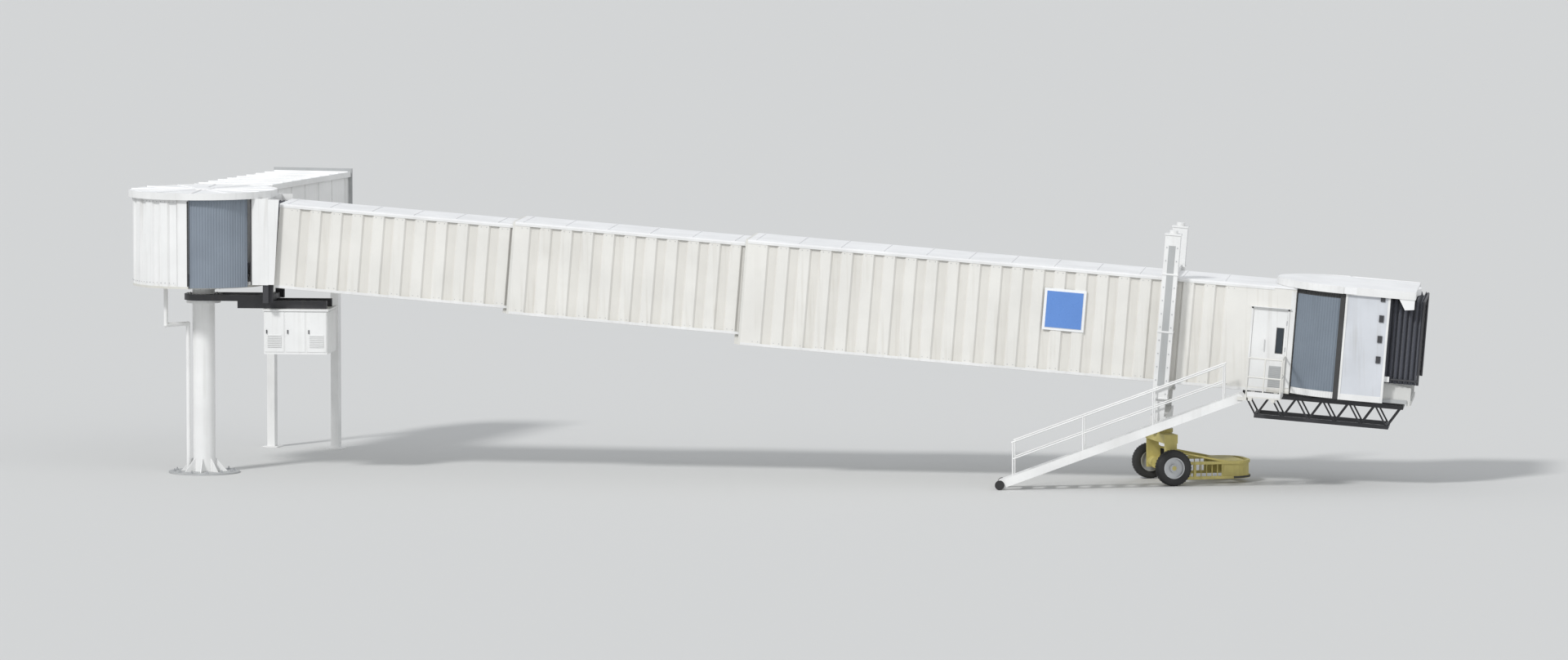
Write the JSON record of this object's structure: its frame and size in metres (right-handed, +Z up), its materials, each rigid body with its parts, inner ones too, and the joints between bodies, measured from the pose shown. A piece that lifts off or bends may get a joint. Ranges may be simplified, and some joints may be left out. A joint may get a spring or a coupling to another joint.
{
  "type": "passenger boarding bridge",
  "caption": "Apron-drive passenger boarding bridge with a rotunda and link corridor, telescoping ribbed tunnels on a steered wheeled lift, a service stair and a turning cab.",
  "frame": {"origin": "centre of the rotunda column's base plate, on its underside at ground level", "axes": "+X from the rotunda along the tunnels towards the cab, +Z up, +Y to the side that the corridor leaves on"},
  "size_m": [34.6307, 10.9249, 7.68],
  "materials": {
    "white_paint": "satin, slightly dusty",
    "cream_paint": "satin, slightly dusty",
    "grey_paint": "matt",
    "dark_paint": "satin",
    "yellow_paint": "satin, worn",
    "blue_paint": "satin",
    "curtain_slats": "matt painted slats",
    "bellows_fabric": "coated fabric",
    "tyre_rubber": "matt",
    "bumper_rubber": "matt",
    "window_glass": "clear"
  },
  "bodies": {
    "fixed": {"base_plate": "grey_paint", "rotunda_column": "white_paint", "column_pipe": "white_paint", "rotunda_floor": "grey_paint", "rotunda_walls": "white_paint", "rotunda_roof": "white_paint", "corridor_floor": "grey_paint", "corridor_walls": "white_paint", "corridor_roof": "white_paint", "corridor_legs": "white_paint", "corridor_flange": "grey_paint"},
    "swing": {"swing_frame": "dark_paint", "entrance_frame": "white_paint", "entrance_bellows": "bellows_fabric", "equipment_cabinet": "white_paint", "rotunda_near_curtain": "curtain_slats", "rotunda_far_curtain": "curtain_slats"},
    "tunnel_a": {"tunnel_a_floor": "grey_paint", "tunnel_a_walls": "cream_paint", "tunnel_a_roof": "white_paint"},
    "tunnel_b": {"tunnel_b_floor": "grey_paint", "tunnel_b_walls": "cream_paint", "tunnel_b_roof": "white_paint", "tunnel_b_entry": "grey_paint"},
    "tunnel_c": {"tunnel_c_floor": "grey_paint", "tunnel_c_walls": "cream_paint", "tunnel_c_roof": "white_paint", "tunnel_c_entry": "grey_paint", "sign_panel": "blue_paint", "service_door": "white_paint", "stair_landing": "grey_paint", "lift_outer_columns": "white_paint", "cab_support": "dark_paint", "cab_near_curtain": "curtain_slats", "cab_far_curtain": "curtain_slats"},
    "lift": {"lift_inner_frame": "white_paint"},
    "bogie": {"bogie_frame": "yellow_paint", "bogie_guard": "yellow_paint"},
    "near_wheel": {"near_tyre": "tyre_rubber", "near_rim": "grey_paint"},
    "far_wheel": {"far_tyre": "tyre_rubber", "far_rim": "grey_paint"},
    "stair": {"stair_stringers": "white_paint", "stair_handrails": "white_paint", "stair_treads": "grey_paint"},
    "casters": {"stair_casters": "dark_paint"},
    "cab": {"cab_floor": "grey_paint", "cab_walls": "white_paint", "cab_front_wall": "white_paint", "cab_windows": "window_glass", "cab_roof": "white_paint", "cab_bumper": "bumper_rubber", "canopy_bellows": "bellows_fabric"},
    "canopy": {"canopy_hoop": "dark_paint"}
  },
  "joints": [
    {"name": "rotunda_swing", "type": "hinge", "parent": "fixed", "child": "swing", "pos_m": [0, 0, 4.64], "axis": [0, 0, 1], "range_deg": [-50, 4], "deforming": ["rotunda_near_curtain", "rotunda_far_curtain"]},
    {"name": "tunnel_tilt", "type": "hinge", "parent": "swing", "child": "tunnel_a", "pos_m": [1.99, 0, 5.11], "axis": [0, 1, 0], "range_deg": [-6, 1.5], "deforming": ["entrance_bellows"]},
    {"name": "tunnel_b_slide", "type": "slide", "parent": "tunnel_a", "child": "tunnel_b", "axis": [0.9968, 0, -0.0802], "range_m": [-4.2, 4.2]},
    {"name": "tunnel_c_slide", "type": "slide", "parent": "tunnel_b", "child": "tunnel_c", "axis": [0.9968, 0, -0.0802], "range_m": [-4.2, 4.2]},
    {"name": "lift_slide", "type": "slide", "parent": "tunnel_c", "child": "lift", "axis": [0.0802, 0, 0.9968], "range_m": [-2.6, 0.4]},
    {"name": "bogie_swivel", "type": "hinge", "parent": "lift", "child": "bogie", "pos_m": [25.64609, 0, 1.43], "axis": [0, 0, 1], "range_deg": [-90, 90]},
    {"name": "near_wheel_spin", "type": "hinge", "parent": "bogie", "child": "near_wheel", "pos_m": [26.02231, -1.03366, 0.475], "axis": [-0.342, 0.9397, 0], "continuous": true},
    {"name": "far_wheel_spin", "type": "hinge", "parent": "bogie", "child": "far_wheel", "pos_m": [25.26986, 1.03366, 0.475], "axis": [-0.342, 0.9397, 0], "continuous": true},
    {"name": "stair_swing", "type": "hinge", "parent": "tunnel_c", "child": "stair", "pos_m": [27.83144, -2.2, 2.46904], "axis": [0, 1, 0], "range_deg": [-32, 8]},
    {"name": "caster_spin", "type": "hinge", "parent": "stair", "child": "casters", "pos_m": [21.56553, -2.2, 0.125], "axis": [0, 1, 0], "continuous": true},
    {"name": "cab_turn", "type": "hinge", "parent": "tunnel_c", "child": "cab", "pos_m": [30.3982, 0, 2.82433], "axis": [0.0802, 0, 0.9968], "range_deg": [-40, 40], "deforming": ["cab_near_curtain", "cab_far_curtain"]},
    {"name": "canopy_tilt", "type": "hinge", "parent": "cab", "child": "canopy", "pos_m": [31.65024, 0, 2.92424], "axis": [0, 1, 0], "range_deg": [0, 14], "deforming": ["canopy_bellows"]}
  ],
  "couplings": [
    {"joint": "tunnel_c_slide", "follows": "tunnel_b_slide", "ratio": 1}
  ]
}
